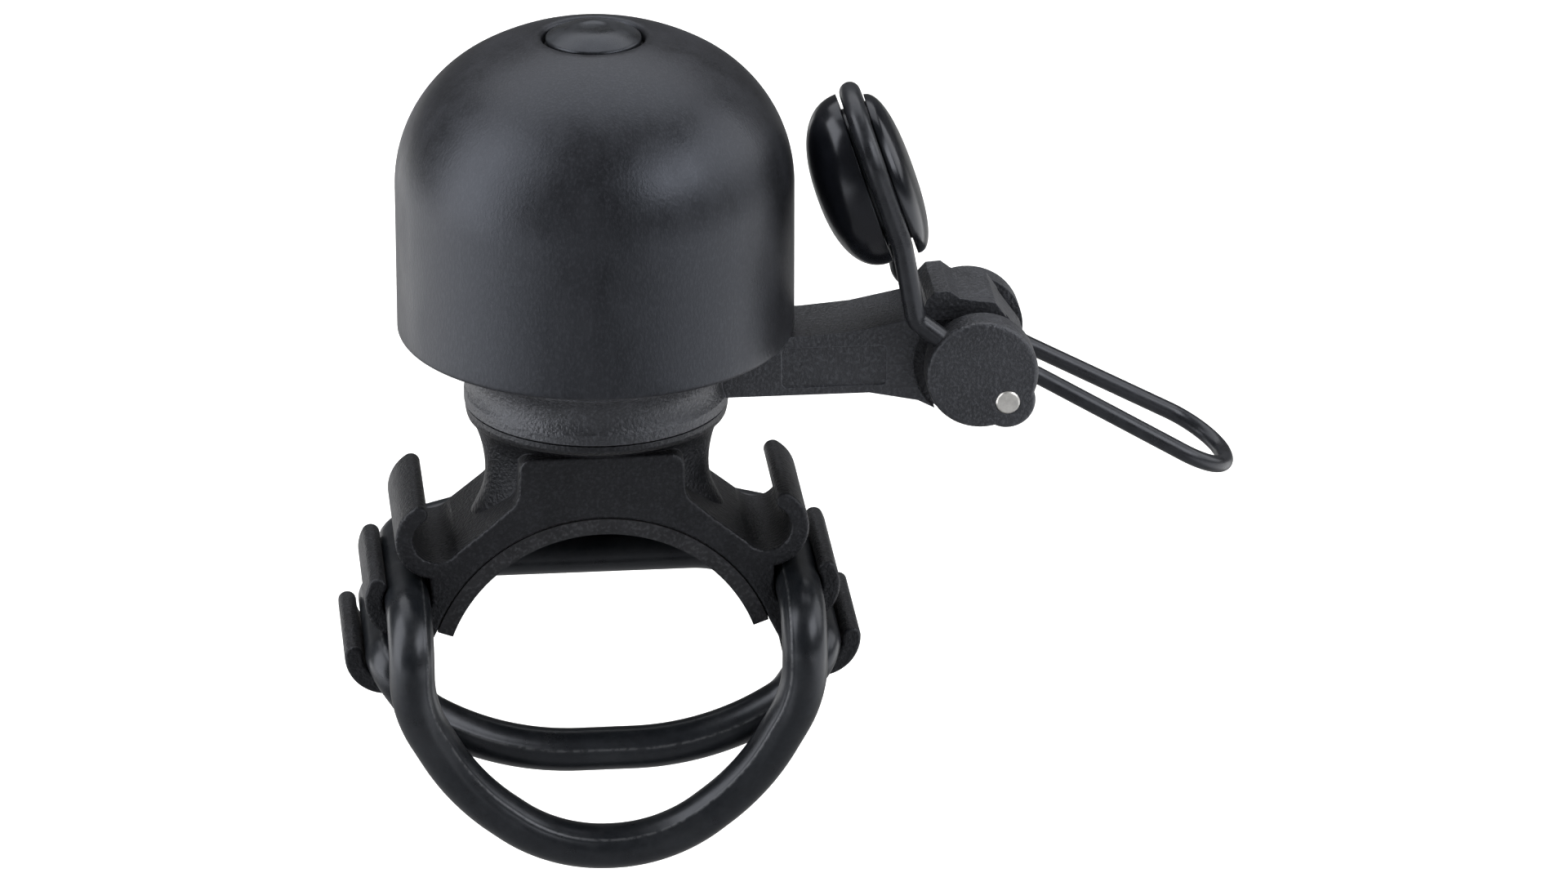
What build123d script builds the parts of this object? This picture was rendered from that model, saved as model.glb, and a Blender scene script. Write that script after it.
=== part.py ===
"""Small bicycle bell: a domed gong and a flick striker on a saddle held to the handlebar by rubber rings.

Frame: origin on the handlebar's axis at the middle of the saddle, +Y along the bar,
+X towards the striker, +Z up through the dome. Millimetres and degrees.
"""
import os
from math import atan2, cos, radians, sin, sqrt

from build123d import *

os.makedirs("parts", exist_ok=True)

# ---------------------------------------------------------------- driving dimensions
bar_r = 15.9              # handlebar radius that the pad is cut to
saddle_depth = 14.0       # along the bar
pad_t = 1.6               # anti-slip pad thickness
seat_half_angle = 70.0    # of the seat's arc, from straight up
soft_gap = 0.05           # pad to saddle

dome_r = 19.55            # outside of the gong
dome_wall = 1.4
rim_z = 35.4              # lowest edge of the gong
dome_height = 31.0        # rim to crown
shoulder_r = 14.5         # outside radius where the wall turns into the crown
shoulder_z = 50.5         # where the straight wall ends
recess_r = 5.0            # seat of the cap screw in the crown
recess_depth = 1.5

hook_wall = 1.8
hook_edge = 0.3           # rounding of the saddle's outline
channel_r = 2.4           # ring channels in the hooks
hooks = [(16.3, 15.85, 56), (19.4, 9.5, 28), (21.5, 3.65, 2)]   # centre x, centre z, tip angle

ring_large_r = 2.25       # rubber section radius
ring_small_r = 2.15

neck_top_z = 27.8         # split between the saddle and the turning collar
collar_gap = 0.2
collar_r = 13.1
lip_r = 13.9
spigot_r = 6.0
spigot_h = 3.4
run_gap = 0.05            # radial running clearance
hub_r = 8.0
hub_top_z = 41.0

arm_half = 4.1            # half width of the arm
knuckle_half = 3.0        # half width of the knuckle
knuckle_x = dome_r + 17.95   # keeps the hammer off the gong
knuckle_z, knuckle_r = 31.7, 6.4
knuckle_end_x = knuckle_x + 4.9          # flat where the finger loop comes out
pin_x, pin_z, pin_r = knuckle_x + 2.5, 28.8, 1.2
cheek_r = 5.55
cheek_in, cheek_out = 4.95, 7.9
lobe_r = 2.8
spacer_r = 1.68

lever_r = 0.86            # wire radius of the finger loop
lever_y = 4.0
lever_slope = -29.7       # degrees below the horizontal
lever_end_x = knuckle_x + 25.35          # middle of the loop's far end
strap_r = 1.05            # wire radius of the hammer strap
strap_y = 6.4
strap_tilt = 18.4         # degrees that the strap leans towards the gong
strap_top = (knuckle_x - 12.35, 58.5)
hammer_long, hammer_wide = 9.0, 6.6       # half sizes of the oval
face_t, back_t = 6.2, 3.7                 # thickness of its two halves
screw_r = 2.0             # cap screw thread
base_screw_r = 2.5

# ---------------------------------------------------------------- derived sizes
half_depth = saddle_depth / 2
seat_r = bar_r + pad_t + soft_gap
dome_top_z = rim_z + dome_height
hook_mid = channel_r + hook_wall / 2
hook_out = channel_r + hook_wall
shoulder_x = dome_r - shoulder_r
crown_rise = dome_top_z - shoulder_z
crown_r = (shoulder_x**2 + crown_rise**2 - shoulder_r**2) / (2 * (crown_rise - shoulder_r))
crown_z = dome_top_z - crown_r


def crown_height(radius, inset=0.0):
    """Height of the crown arc, moved in by inset, at a distance from the axis."""
    return crown_z + sqrt((crown_r - inset) ** 2 - radius**2)


def shoulder_joint(inset=0.0):
    """Point where the shoulder arc runs into the crown arc."""
    turn = atan2(shoulder_z - crown_z, shoulder_x)
    reach = crown_r - inset
    return reach * cos(turn), crown_z + reach * sin(turn)


def arc_middle(centre, radius, start, end):
    """Point half way along an arc that is given by its centre and its two ends."""
    first = atan2(start[1] - centre[1], start[0] - centre[0])
    last = atan2(end[1] - centre[1], end[0] - centre[0])
    middle = (first + last) / 2
    return centre[0] + radius * cos(middle), centre[1] + radius * sin(middle)


# ---------------------------------------------------------------- gong
recess_floor_z = crown_height(recess_r) - recess_depth
dome_under_z = recess_floor_z - dome_wall
inner_r = dome_r - dome_wall
lip_fold_r = recess_r + dome_wall

with BuildPart() as dome:
    with BuildSketch(Plane.XZ):
        with BuildLine():
            joint_out = shoulder_joint()
            joint_in = shoulder_joint(dome_wall)
            crown_out = (recess_r, crown_height(recess_r))
            crown_in = (lip_fold_r, crown_height(lip_fold_r, dome_wall))
            shoulder_c = (shoulder_x, shoulder_z)
            crown_c = (0, crown_z)
            Line((inner_r, rim_z), (dome_r, rim_z))
            Line((dome_r, rim_z), (dome_r, shoulder_z))
            ThreePointArc((dome_r, shoulder_z),
                          arc_middle(shoulder_c, shoulder_r, (dome_r, shoulder_z), joint_out), joint_out)
            ThreePointArc(joint_out, arc_middle(crown_c, crown_r, joint_out, crown_out), crown_out)
            Line(crown_out, (recess_r, recess_floor_z))
            Line((recess_r, recess_floor_z), (screw_r + 0.15, recess_floor_z))
            Line((screw_r + 0.15, recess_floor_z), (screw_r + 0.15, dome_under_z))
            Line((screw_r + 0.15, dome_under_z), (lip_fold_r, dome_under_z))
            Line((lip_fold_r, dome_under_z), crown_in)
            ThreePointArc(crown_in, arc_middle(crown_c, crown_r - dome_wall, crown_in, joint_in), joint_in)
            ThreePointArc(joint_in, arc_middle(shoulder_c, shoulder_r - dome_wall, joint_in,
                                               (inner_r, shoulder_z)), (inner_r, shoulder_z))
            Line((inner_r, shoulder_z), (inner_r, rim_z))
        make_face()
    revolve(axis=Axis.Z)
    rim_edges = dome.edges().filter_by(GeomType.CIRCLE).group_by(Axis.Z)[0]
    fillet(rim_edges, 0.45)
    recess_edge = dome.edges().filter_by(GeomType.CIRCLE).filter_by(
        lambda e: abs(e.radius - recess_r) < 0.01 and e.center().Z > recess_floor_z + 0.1)
    fillet(recess_edge, 0.6)

# ---------------------------------------------------------------- cap screw, its washer and the post
cap_washer_t = 0.3
cap_head_r = 4.68
head_z = recess_floor_z + cap_washer_t
head_edge_t = 0.9
head_crown = 1.15
screw_length = 12.0
top_washer_t = 0.5
post_r = 4.0
post_top_z = dome_under_z - top_washer_t
base_thread = 8.0

with BuildPart() as cap_washer:
    with BuildSketch(Plane.XY.offset(recess_floor_z)):
        Circle(recess_r - 0.15)
        Circle(screw_r + run_gap, mode=Mode.SUBTRACT)
    extrude(amount=cap_washer_t)

with BuildPart() as dome_screw:
    with BuildSketch(Plane.XZ):
        with BuildLine():
            edge_z = head_z + head_edge_t
            Line((0, head_z - screw_length), (screw_r, head_z - screw_length))
            Line((screw_r, head_z - screw_length), (screw_r, head_z))
            Line((screw_r, head_z), (cap_head_r, head_z))
            Line((cap_head_r, head_z), (cap_head_r, edge_z))
            ThreePointArc((cap_head_r, edge_z), (cap_head_r * 0.6, edge_z + head_crown * 0.68),
                          (1.6, edge_z + head_crown))
            Line((1.6, edge_z + head_crown), (1.1, edge_z + head_crown - 0.2))
            Line((1.1, edge_z + head_crown - 0.2), (0, edge_z + head_crown - 0.2))
            Line((0, edge_z + head_crown - 0.2), (0, head_z - screw_length))
        make_face()
    revolve(axis=Axis.Z)

with BuildPart() as top_washer:
    with BuildSketch(Plane.XY.offset(post_top_z)):
        Circle(post_r + 1.0)
        Circle(screw_r + run_gap, mode=Mode.SUBTRACT)
    extrude(amount=top_washer_t)

with BuildPart() as dome_post:
    with BuildSketch(Plane.XY.offset(hub_top_z)):
        Circle(post_r)
    extrude(amount=post_top_z - hub_top_z)
    with BuildSketch(Plane.XY.offset(post_top_z)):
        Circle(screw_r + run_gap)
    extrude(amount=-screw_length - 1, mode=Mode.SUBTRACT)
    with BuildSketch(Plane.XY.offset(hub_top_z)):
        Circle(base_screw_r + run_gap)
    extrude(amount=base_thread + 1, mode=Mode.SUBTRACT)
    chamfer(dome_post.edges().group_by(Axis.Z)[-1].sort_by(SortBy.RADIUS)[-1], 0.4)

# ---------------------------------------------------------------- saddle
panel_half = 8.1
panel_top_z = 24.2
panel_foot = (8.3, 19.6)
panel_round, foot_round = 1.4, 2.2
neck_sections = [(16.0, 12.6, 6.2), (19.0, 11.3, 6.25), (22.0, 11.2, 6.25), (24.6, 11.8, 7.2),
                 (26.0, 12.5, 9.8), (neck_top_z - 0.5, 13.0, 13.0)]
base_washer_t = 0.5
base_head_r, base_head_h = 4.2, 2.6
head_recess_z = seat_r + 0.35 + base_head_h + base_washer_t
washer_recess = 0.6
turn_washer_r = 9.5


def channel_point(hook, angle, reach):
    """Point at an angle and a distance from the middle of a hook's channel."""
    return (hook[0] + reach * cos(radians(angle)), hook[1] + reach * sin(radians(angle)))


def hook_section(hook, leg_angle):
    """Outline of one J-shaped hook: from the leg, under its channel and up the outside to the tip."""
    centre, tip = hook[:2], hook[2]
    sweep_angle = tip + 360 - leg_angle
    with BuildSketch(mode=Mode.PRIVATE) as section:
        with BuildLine():
            CenterArc(centre, channel_r, leg_angle, sweep_angle)
            CenterArc(centre, hook_out, leg_angle, sweep_angle)
            CenterArc(channel_point(hook, tip, hook_mid), hook_wall / 2, tip, 180)
            Line(channel_point(hook, leg_angle, channel_r), channel_point(hook, leg_angle, hook_out))
        make_face()
    return section.sketch


with BuildPart() as saddle:
    with BuildSketch(Plane.XZ):
        top, middle, low = hooks
        with BuildLine():
            Polyline((0, 10), (0, panel_top_z), (panel_half, panel_top_z), panel_foot,
                     (11.3, 16.9), channel_point(top, 215, channel_r), top[:2],
                     channel_point(top, 275, hook_mid), (middle[0] - channel_r, 12.1),
                     (middle[0] - channel_r, middle[1]), middle[:2],
                     channel_point(middle, 262, hook_mid), (low[0] - channel_r, low[1] + 1.2),
                     (low[0] - channel_r, low[1]), low[:2], channel_point(low, 250, hook_mid),
                     channel_point(low, 240, hook_out),
                     (seat_r * sin(radians(seat_half_angle)), seat_r * cos(radians(seat_half_angle))),
                     (8, 10), close=True)
        make_face()
        fillet(vertices().sort_by_distance((panel_half, panel_top_z))[0], panel_round)
        fillet(vertices().sort_by_distance(panel_foot)[0], foot_round)
        for hook, leg_angle in zip(hooks, (225, 215, 215)):
            add(hook_section(hook, leg_angle))
        for hook in hooks:
            with Locations(hook[:2]):
                Circle(channel_r, mode=Mode.SUBTRACT)
        Circle(seat_r, mode=Mode.SUBTRACT)
        mirror(about=Plane.YZ)
    extrude(amount=half_depth, both=True)
    outlines = saddle.edges().group_by(Axis.Y)
    fillet(outlines[0] + outlines[-1], hook_edge)
    for z, across, along in neck_sections:
        with BuildSketch(Plane.XY.offset(z)):
            Ellipse(across, along) if across != along else Circle(across)
    loft()
    with BuildSketch(Plane.XY.offset(neck_top_z - 0.5)):
        Circle(13.0)
    extrude(amount=0.5)
    with BuildSketch(Plane.XY.offset(neck_top_z - washer_recess)):
        Circle(turn_washer_r + 0.1)
    extrude(amount=washer_recess, mode=Mode.SUBTRACT)
    with BuildSketch(Plane.XY.offset(neck_top_z - washer_recess)):
        Circle(spigot_r)
    extrude(amount=washer_recess + spigot_h)
    with BuildSketch(Plane.XZ):
        Circle(seat_r)
    extrude(amount=half_depth + 1, both=True, mode=Mode.SUBTRACT)
    with BuildSketch(Plane.XY.offset(head_recess_z)):
        Circle(base_head_r + 0.3)
    extrude(amount=-10, mode=Mode.SUBTRACT)
    with BuildSketch(Plane.XY.offset(head_recess_z - 1)):
        Circle(base_screw_r + run_gap)
    extrude(amount=20, mode=Mode.SUBTRACT)

with BuildPart() as saddle_pad:
    with BuildSketch(Plane.XZ):
        Circle(seat_r - soft_gap)
        Circle(bar_r, mode=Mode.SUBTRACT)
        with BuildLine():
            reach = 2 * seat_r
            Polyline((0, 0), (reach * sin(radians(seat_half_angle)), reach * cos(radians(seat_half_angle))),
                     (reach, -reach), (-reach, -reach),
                     (-reach * sin(radians(seat_half_angle)), reach * cos(radians(seat_half_angle))),
                     close=True)
        make_face(mode=Mode.SUBTRACT)
    extrude(amount=half_depth, both=True)

# ---------------------------------------------------------------- base screw and washers
base_head_z = head_recess_z - base_washer_t

with BuildPart() as base_washer:
    with BuildSketch(Plane.XY.offset(base_head_z)):
        Circle(base_head_r)
        Circle(base_screw_r + run_gap, mode=Mode.SUBTRACT)
    extrude(amount=base_washer_t)

with BuildPart() as base_screw:
    with BuildSketch(Plane.XY.offset(base_head_z)):
        Circle(base_head_r)
    extrude(amount=-base_head_h)
    chamfer(base_screw.edges().group_by(Axis.Z)[0], 0.5)
    with BuildSketch(Plane.XY.offset(base_head_z - base_head_h)):
        RegularPolygon(1.5, 6, major_radius=False)
    extrude(amount=1.4, mode=Mode.SUBTRACT)
    with BuildSketch(Plane.XY.offset(base_head_z)):
        Circle(base_screw_r)
    extrude(amount=hub_top_z + base_thread - base_head_z)

collar_z = neck_top_z + collar_gap

with BuildPart() as turn_washer:
    with BuildSketch(Plane.XY.offset(neck_top_z - washer_recess)):
        Circle(turn_washer_r)
        Circle(spigot_r + run_gap, mode=Mode.SUBTRACT)
    extrude(amount=washer_recess + collar_gap)

# ---------------------------------------------------------------- striker arm: collar, arm and knuckle
collar_top_z = rim_z - 0.7
arm_under_rim_z = rim_z - 0.55
spring_pocket_r = 2.6
spring_pocket_half = 1.6
cheek_clear = 0.9         # round the cheeks, where the arm's sides are cut back
cap_low_z = 36.3          # above the reach of the wires' ends the knuckle is as wide as the arm
stop_outline = [(knuckle_x - 6, 36), (knuckle_x - 5.2, 38.3), (knuckle_x - 4.4, 39.2),
                (knuckle_x - 2.9, 39.3), (knuckle_x - 1.9, 38.5), (knuckle_x + 0.1, 38.1), (knuckle_x, 33)]
nose_cut = [(knuckle_x + 0.1, 38.6), (knuckle_x + 1.7, 37.8), (knuckle_end_x, 33.2),
            (knuckle_end_x + 7.6, 33.2), (knuckle_end_x + 7.6, 45), (knuckle_x + 0.1, 45)]
panel_middle, panel_size, panel_inset = (knuckle_x - 14.3, knuckle_z), (10.4, 4.2), 0.15

with BuildPart() as striker_arm:
    with BuildSketch(Plane.XZ):
        with BuildLine():
            Polyline((spigot_r + run_gap, collar_z), (collar_r, collar_z), (collar_r, collar_z + 1.0))
            ThreePointArc((collar_r, collar_z + 1.0), (collar_r - 0.35, collar_z + 2.8),
                          (collar_r + 0.35, collar_z + 4.6))
            Polyline((collar_r + 0.35, collar_z + 4.6), (lip_r, collar_z + 5.0), (lip_r, collar_top_z - 0.4),
                     (lip_r - 0.4, collar_top_z), (hub_r + 1.5, collar_top_z), (hub_r, collar_top_z + 1.5),
                     (hub_r, hub_top_z), (base_screw_r + run_gap, hub_top_z),
                     (base_screw_r + run_gap, neck_top_z + spigot_h + 0.2),
                     (spigot_r + run_gap, neck_top_z + spigot_h + 0.2), (spigot_r + run_gap, collar_z))
        make_face()
    revolve(axis=Axis.Z)
    with BuildSketch(Plane.XZ):
        with BuildLine():
            Polyline((hub_r + 1, 28.8), (knuckle_x - 10.8, 28.8), (knuckle_x - 6, 27.8),
                     (knuckle_x - 3, 26.2), (knuckle_x, 27), (knuckle_x, 37), (knuckle_x - 6.5, 36.5),
                     (knuckle_x - 12, 35.4), (dome_r + 1.05, arm_under_rim_z + 0.15),
                     (hub_r + 1, arm_under_rim_z), close=True)
        make_face()
    extrude(amount=arm_half, both=True)
    for side in (-1, 1):
        with BuildSketch(Plane.XZ.offset(-side * arm_half)):
            with Locations(panel_middle):
                RectangleRounded(*panel_size, 0.5)
        extrude(amount=side * panel_inset, mode=Mode.SUBTRACT)
    with BuildSketch(Plane.XZ):
        with Locations((knuckle_x, knuckle_z)):
            Circle(knuckle_r)
        with BuildLine():
            Polyline(*stop_outline, close=True)
        make_face()
        with Locations((knuckle_end_x + 5, knuckle_z)):
            Rectangle(10, 20, mode=Mode.SUBTRACT)
    extrude(amount=knuckle_half, both=True)
    with BuildSketch(Plane.XZ):
        with Locations((knuckle_x, knuckle_z)):
            Circle(cheek_r + cheek_clear)
    extrude(amount=arm_half + 1, both=True, mode=Mode.SUBTRACT)
    with BuildSketch(Plane.XZ):
        with Locations((knuckle_x, knuckle_z)):
            Circle(cheek_r + cheek_clear)
        with Locations((knuckle_end_x + 5, knuckle_z)):
            Rectangle(10, 20, mode=Mode.SUBTRACT)
        with BuildLine():
            Polyline(*nose_cut, close=True)
        make_face(mode=Mode.SUBTRACT)
    extrude(amount=knuckle_half, both=True)
    with BuildSketch(Plane.XZ):
        with Locations((knuckle_x, knuckle_z)):
            Circle(knuckle_r)
        with BuildLine():
            Polyline(*stop_outline, close=True)
        make_face()
        with Locations((knuckle_x, cap_low_z - 10)):
            Rectangle(30, 20, mode=Mode.SUBTRACT)
        with BuildLine():
            Polyline(*nose_cut, close=True)
        make_face(mode=Mode.SUBTRACT)
    extrude(amount=arm_half, both=True)
    with BuildSketch(Plane.XZ):
        with Locations((pin_x, pin_z)):
            Circle(pin_r + run_gap)
    extrude(amount=knuckle_half + 1, both=True, mode=Mode.SUBTRACT)
    with BuildSketch(Plane.XZ):
        with Locations((pin_x, pin_z)):
            Circle(spring_pocket_r)
    extrude(amount=spring_pocket_half, both=True, mode=Mode.SUBTRACT)

# ---------------------------------------------------------------- striker: pin, cheeks, spacers, spring
clip_t = 0.6
pin_front = cheek_out + 0.15
pin_back = cheek_out + 0.15 + clip_t + 0.35

with BuildPart() as pivot_pin:
    with BuildSketch(Plane.XZ.offset(-pin_back)):
        with Locations((pin_x, pin_z)):
            Circle(pin_r)
    extrude(amount=pin_back + pin_front)
    chamfer(pivot_pin.edges().filter_by(GeomType.CIRCLE), 0.15)

with BuildPart() as pin_clip:
    with BuildSketch(Plane.XZ.offset(-(cheek_out + 0.1 + clip_t))):
        with Locations((pin_x, pin_z)):
            Circle(2.3)
            Circle(pin_r + 0.02, mode=Mode.SUBTRACT)
            with Locations((0, -2)):
                Rectangle(1.3, 3, mode=Mode.SUBTRACT)
    extrude(amount=clip_t)

strap_lean = radians(strap_tilt)
strap_up = (-sin(strap_lean), cos(strap_lean))
knee_drop = 14.0          # straight part of the strap, measured down from its top
knee = (strap_top[0] - knee_drop * strap_up[0], strap_top[1] - knee_drop * strap_up[1])
elbow = (knuckle_x - 6.5, knuckle_z + 5.6)
strap_end = (knuckle_x - 2.6, knuckle_z + 2.4)
lever_dir = (cos(radians(lever_slope)), sin(radians(lever_slope)))
lever_line_z = 18.88
hook_in_x = knuckle_x - 0.1
lever_back = (hook_in_x - lever_end_x) / lever_dir[0]
lever_root = (hook_in_x, lever_line_z + lever_back * lever_dir[1])
lever_tip_depth = cheek_in + 1.6
lever_wide = 5.9          # half width of the loop's far end
lever_free_x = knuckle_x + 6.2           # the wires spread apart beyond the cheeks
cheek_side = {"cheek_front": -1, "cheek_rear": 1}


def cheek(side):
    """Round cheek of the striker on one side of the knuckle."""
    start = Plane.XZ.offset(-side * cheek_in)
    with BuildPart() as piece:
        with BuildSketch(start):
            with Locations((knuckle_x, knuckle_z)):
                Circle(cheek_r)
            with Locations((pin_x, pin_z)):
                Circle(lobe_r)
        extrude(amount=-side * (cheek_out - cheek_in))
        outer = piece.edges().group_by(Axis.Y)[-1 if side > 0 else 0]
        fillet(outer, 0.5)
        with BuildSketch(start):
            with Locations((pin_x, pin_z)):
                Circle(pin_r + run_gap)
        extrude(amount=-side * 10, mode=Mode.SUBTRACT)
        with BuildSketch(start):
            with Locations(lever_root):
                Circle(lever_r + 0.03)
        extrude(amount=-side * (lever_tip_depth - cheek_in + 0.1), mode=Mode.SUBTRACT)
        along = Vector(elbow[0] - strap_end[0], 0, elbow[1] - strap_end[1]).normalized()
        hole = Plane(origin=Vector(strap_end[0], side * strap_y, strap_end[1]) - along * 0.1, z_dir=along)
        with BuildSketch(hole):
            Circle(strap_r + 0.03)
        extrude(amount=8, mode=Mode.SUBTRACT)
    return piece.part


cheeks = {name: cheek(side) for name, side in cheek_side.items()}

with BuildPart() as pivot_spacers:
    for side in (-1, 1):
        with BuildSketch(Plane.XZ.offset(-side * (knuckle_half + 0.05))):
            with Locations((pin_x, pin_z)):
                Circle(spacer_r)
                Circle(pin_r + run_gap, mode=Mode.SUBTRACT)
        extrude(amount=-side * (cheek_in - knuckle_half - 0.07))

spring_wire_r = 0.25
spring_coil_r = 1.75
spring_half = 1.1
with BuildPart() as return_spring:
    with BuildLine() as coil:
        Helix(pitch=0.62, height=2 * spring_half, radius=spring_coil_r,
              center=(pin_x, -spring_half, pin_z), direction=(0, 1, 0))
    with BuildSketch(Plane(origin=coil.wires()[0] @ 0, z_dir=coil.wires()[0] % 0)):
        Circle(spring_wire_r)
    sweep(is_frenet=True)

lever_free_z = lever_line_z + (lever_free_x - lever_end_x) / lever_dir[0] * lever_dir[1]
near_side = [(lever_root[0], lever_tip_depth, lever_root[1]), (lever_root[0], lever_y, lever_root[1]),
             (lever_free_x, lever_y, lever_free_z), (lever_end_x, lever_wide, lever_line_z)]
with BuildPart() as lever_loop:
    with BuildLine() as lever_line:
        FilletPolyline(*[(x, -y, z) for x, y, z in near_side], *reversed(near_side),
                       radius=[lever_r + 0.15, 8, 5.2, 5.2, 8, lever_r + 0.15])
    with BuildSketch(Plane(origin=(lever_root[0], -lever_tip_depth, lever_root[1]), z_dir=(0, 1, 0))):
        Circle(lever_r)
    sweep(transition=Transition.ROUND)

# ---------------------------------------------------------------- hammer and its strap
top_x, top_z = strap_top
bend_x = top_x - strap_y * strap_up[0]
bend_z = top_z - strap_y * strap_up[1]
strap_side = [(strap_end[0], strap_y, strap_end[1]), (elbow[0], strap_y, elbow[1]),
              (knee[0], strap_y, knee[1]), (bend_x, strap_y, bend_z)]
with BuildPart() as hammer_strap:
    with BuildLine() as strap_line:
        FilletPolyline(*[(x, -y, z) for x, y, z in strap_side], radius=[1.6, 6])
        ThreePointArc((bend_x, -strap_y, bend_z), (top_x, 0, top_z), (bend_x, strap_y, bend_z))
        FilletPolyline(*reversed(strap_side), radius=[6, 1.6])
    with BuildSketch(Plane(origin=strap_line.line @ 0, z_dir=strap_line.line % 0)):
        Circle(strap_r)
    sweep(transition=Transition.ROUND)

hammer_c = (top_x - hammer_long * strap_up[0] - 0.35, top_z - hammer_long * strap_up[1] + 0.35)
hammer_plane = Plane(origin=(hammer_c[0], 0, hammer_c[1]), x_dir=(0, 1, 0),
                     z_dir=(-strap_up[1], 0, strap_up[0]))
strap_gap = 0.12          # between the strap and the hammer's halves
face_start = strap_r + strap_gap
back_start = strap_r + 3 * strap_gap
joint_gap = 0.02          # between the core and what it carries
core_wide = strap_y - strap_r - joint_gap
core_long = hammer_long - strap_r - 0.6
fullness = 2.35
slump = 0.3               # how far the halves' outsides sit below their flats
back_drop = 0.5           # the back half is shorter at its top


def half_hammer(start, thickness, side, long_half, drop=0.0):
    """One cushion-shaped half of the hammer, on one side of the strap's plane."""
    layers = (0.0, 0.35, 0.62, 0.82, 0.94, 0.99)
    with BuildPart(mode=Mode.PRIVATE) as piece:
        for layer in layers:
            shrink = (1 - layer**fullness) ** (1 / fullness)
            with BuildSketch(hammer_plane.offset(side * (start + layer * (thickness - start)))):
                with Locations((0, -drop - slump * layer)):
                    Ellipse(hammer_wide * shrink, long_half * shrink)
        loft()
    return piece.part


with BuildPart() as hammer_face:
    add(half_hammer(face_start, face_t, 1, hammer_long))

with BuildPart() as hammer_back:
    add(half_hammer(back_start, back_t, -1, hammer_long - back_drop, back_drop))

with BuildPart() as hammer_core:
    with BuildSketch(hammer_plane.offset(-back_start + joint_gap)):
        Ellipse(core_wide, core_long)
    extrude(amount=back_start + face_start - 2 * joint_gap)

# ---------------------------------------------------------------- rubber rings
ring_gap = 0.1
ring_front_small = half_depth + ring_small_r + ring_gap
ring_front_large = ring_front_small + ring_small_r + ring_large_r + 2 * ring_gap
ring_back = half_depth + ring_large_r + 2 * ring_gap


def ring(points, radii, section):
    """Rubber ring: half of it along a path with rounded corners, then mirrored."""
    with BuildPart() as piece:
        with BuildLine() as path:
            FilletPolyline(*points, radius=radii)
        with BuildSketch(Plane(origin=path.line @ 0, z_dir=path.line % 0)):
            Circle(section)
        sweep()
        mirror(about=Plane.YZ)
    return piece.part


large_x, large_z = hooks[1][:2]
small_x, small_z = hooks[2][:2]
large_low = -14.9
small_low = -6.35
ring_large = ring(
    [(0, -ring_front_large, large_low), (5.53, -ring_front_large, large_low),
     (14.31, -ring_front_large, large_low + 6.86), (large_x, -ring_front_large, large_z - 8.5),
     (large_x, -ring_front_large, large_z), (large_x, ring_back, large_z),
     (12, ring_back, large_z + 1.9), (0, ring_back, large_z + 1.9)],
    [15.5, 23, 13, 4.6, 2.4, 12], ring_large_r)
ring_small = ring(
    [(0, -ring_front_small, small_low), (10.5, -ring_front_small, small_low),
     (18.2, -ring_front_small, -1.5), (small_x, -ring_front_small, small_z),
     (small_x, ring_back, small_z), (12, ring_back, small_z + 3.2), (0, ring_back, small_z + 3.2)],
    [27, 5, 2.35, 2.35, 12], ring_small_r)

# ---------------------------------------------------------------- export
builders = {
    "dome": dome, "cap_washer": cap_washer, "dome_screw": dome_screw, "top_washer": top_washer,
    "dome_post": dome_post, "saddle": saddle, "saddle_pad": saddle_pad, "base_washer": base_washer,
    "base_screw": base_screw, "turn_washer": turn_washer, "striker_arm": striker_arm,
    "pivot_pin": pivot_pin, "pin_clip": pin_clip, "pivot_spacers": pivot_spacers,
    "return_spring": return_spring, "lever_loop": lever_loop, "hammer_strap": hammer_strap,
    "hammer_face": hammer_face, "hammer_back": hammer_back, "hammer_core": hammer_core,
}
nodes = {name: builder.part for name, builder in builders.items()}
nodes.update(cheeks)
nodes.update({"ring_large": ring_large, "ring_small": ring_small})
for name, solid in nodes.items():
    solid.label = name
    export_step(solid, f"parts/{name}.step")
    print(f"{name}: {len(solid.solids())} solid(s), {solid.volume:.1f} mm3")
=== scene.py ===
"""Visible pieces and finishes of a small bicycle bell, built round its fixed frame. Metres, +Z up."""
from math import atan2, cos, pi, radians, sin, sqrt

import bmesh
import bpy
from bpy.props import FloatProperty, FloatVectorProperty, IntProperty, PointerProperty
from mathutils import Matrix, Quaternion, Vector


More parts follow.
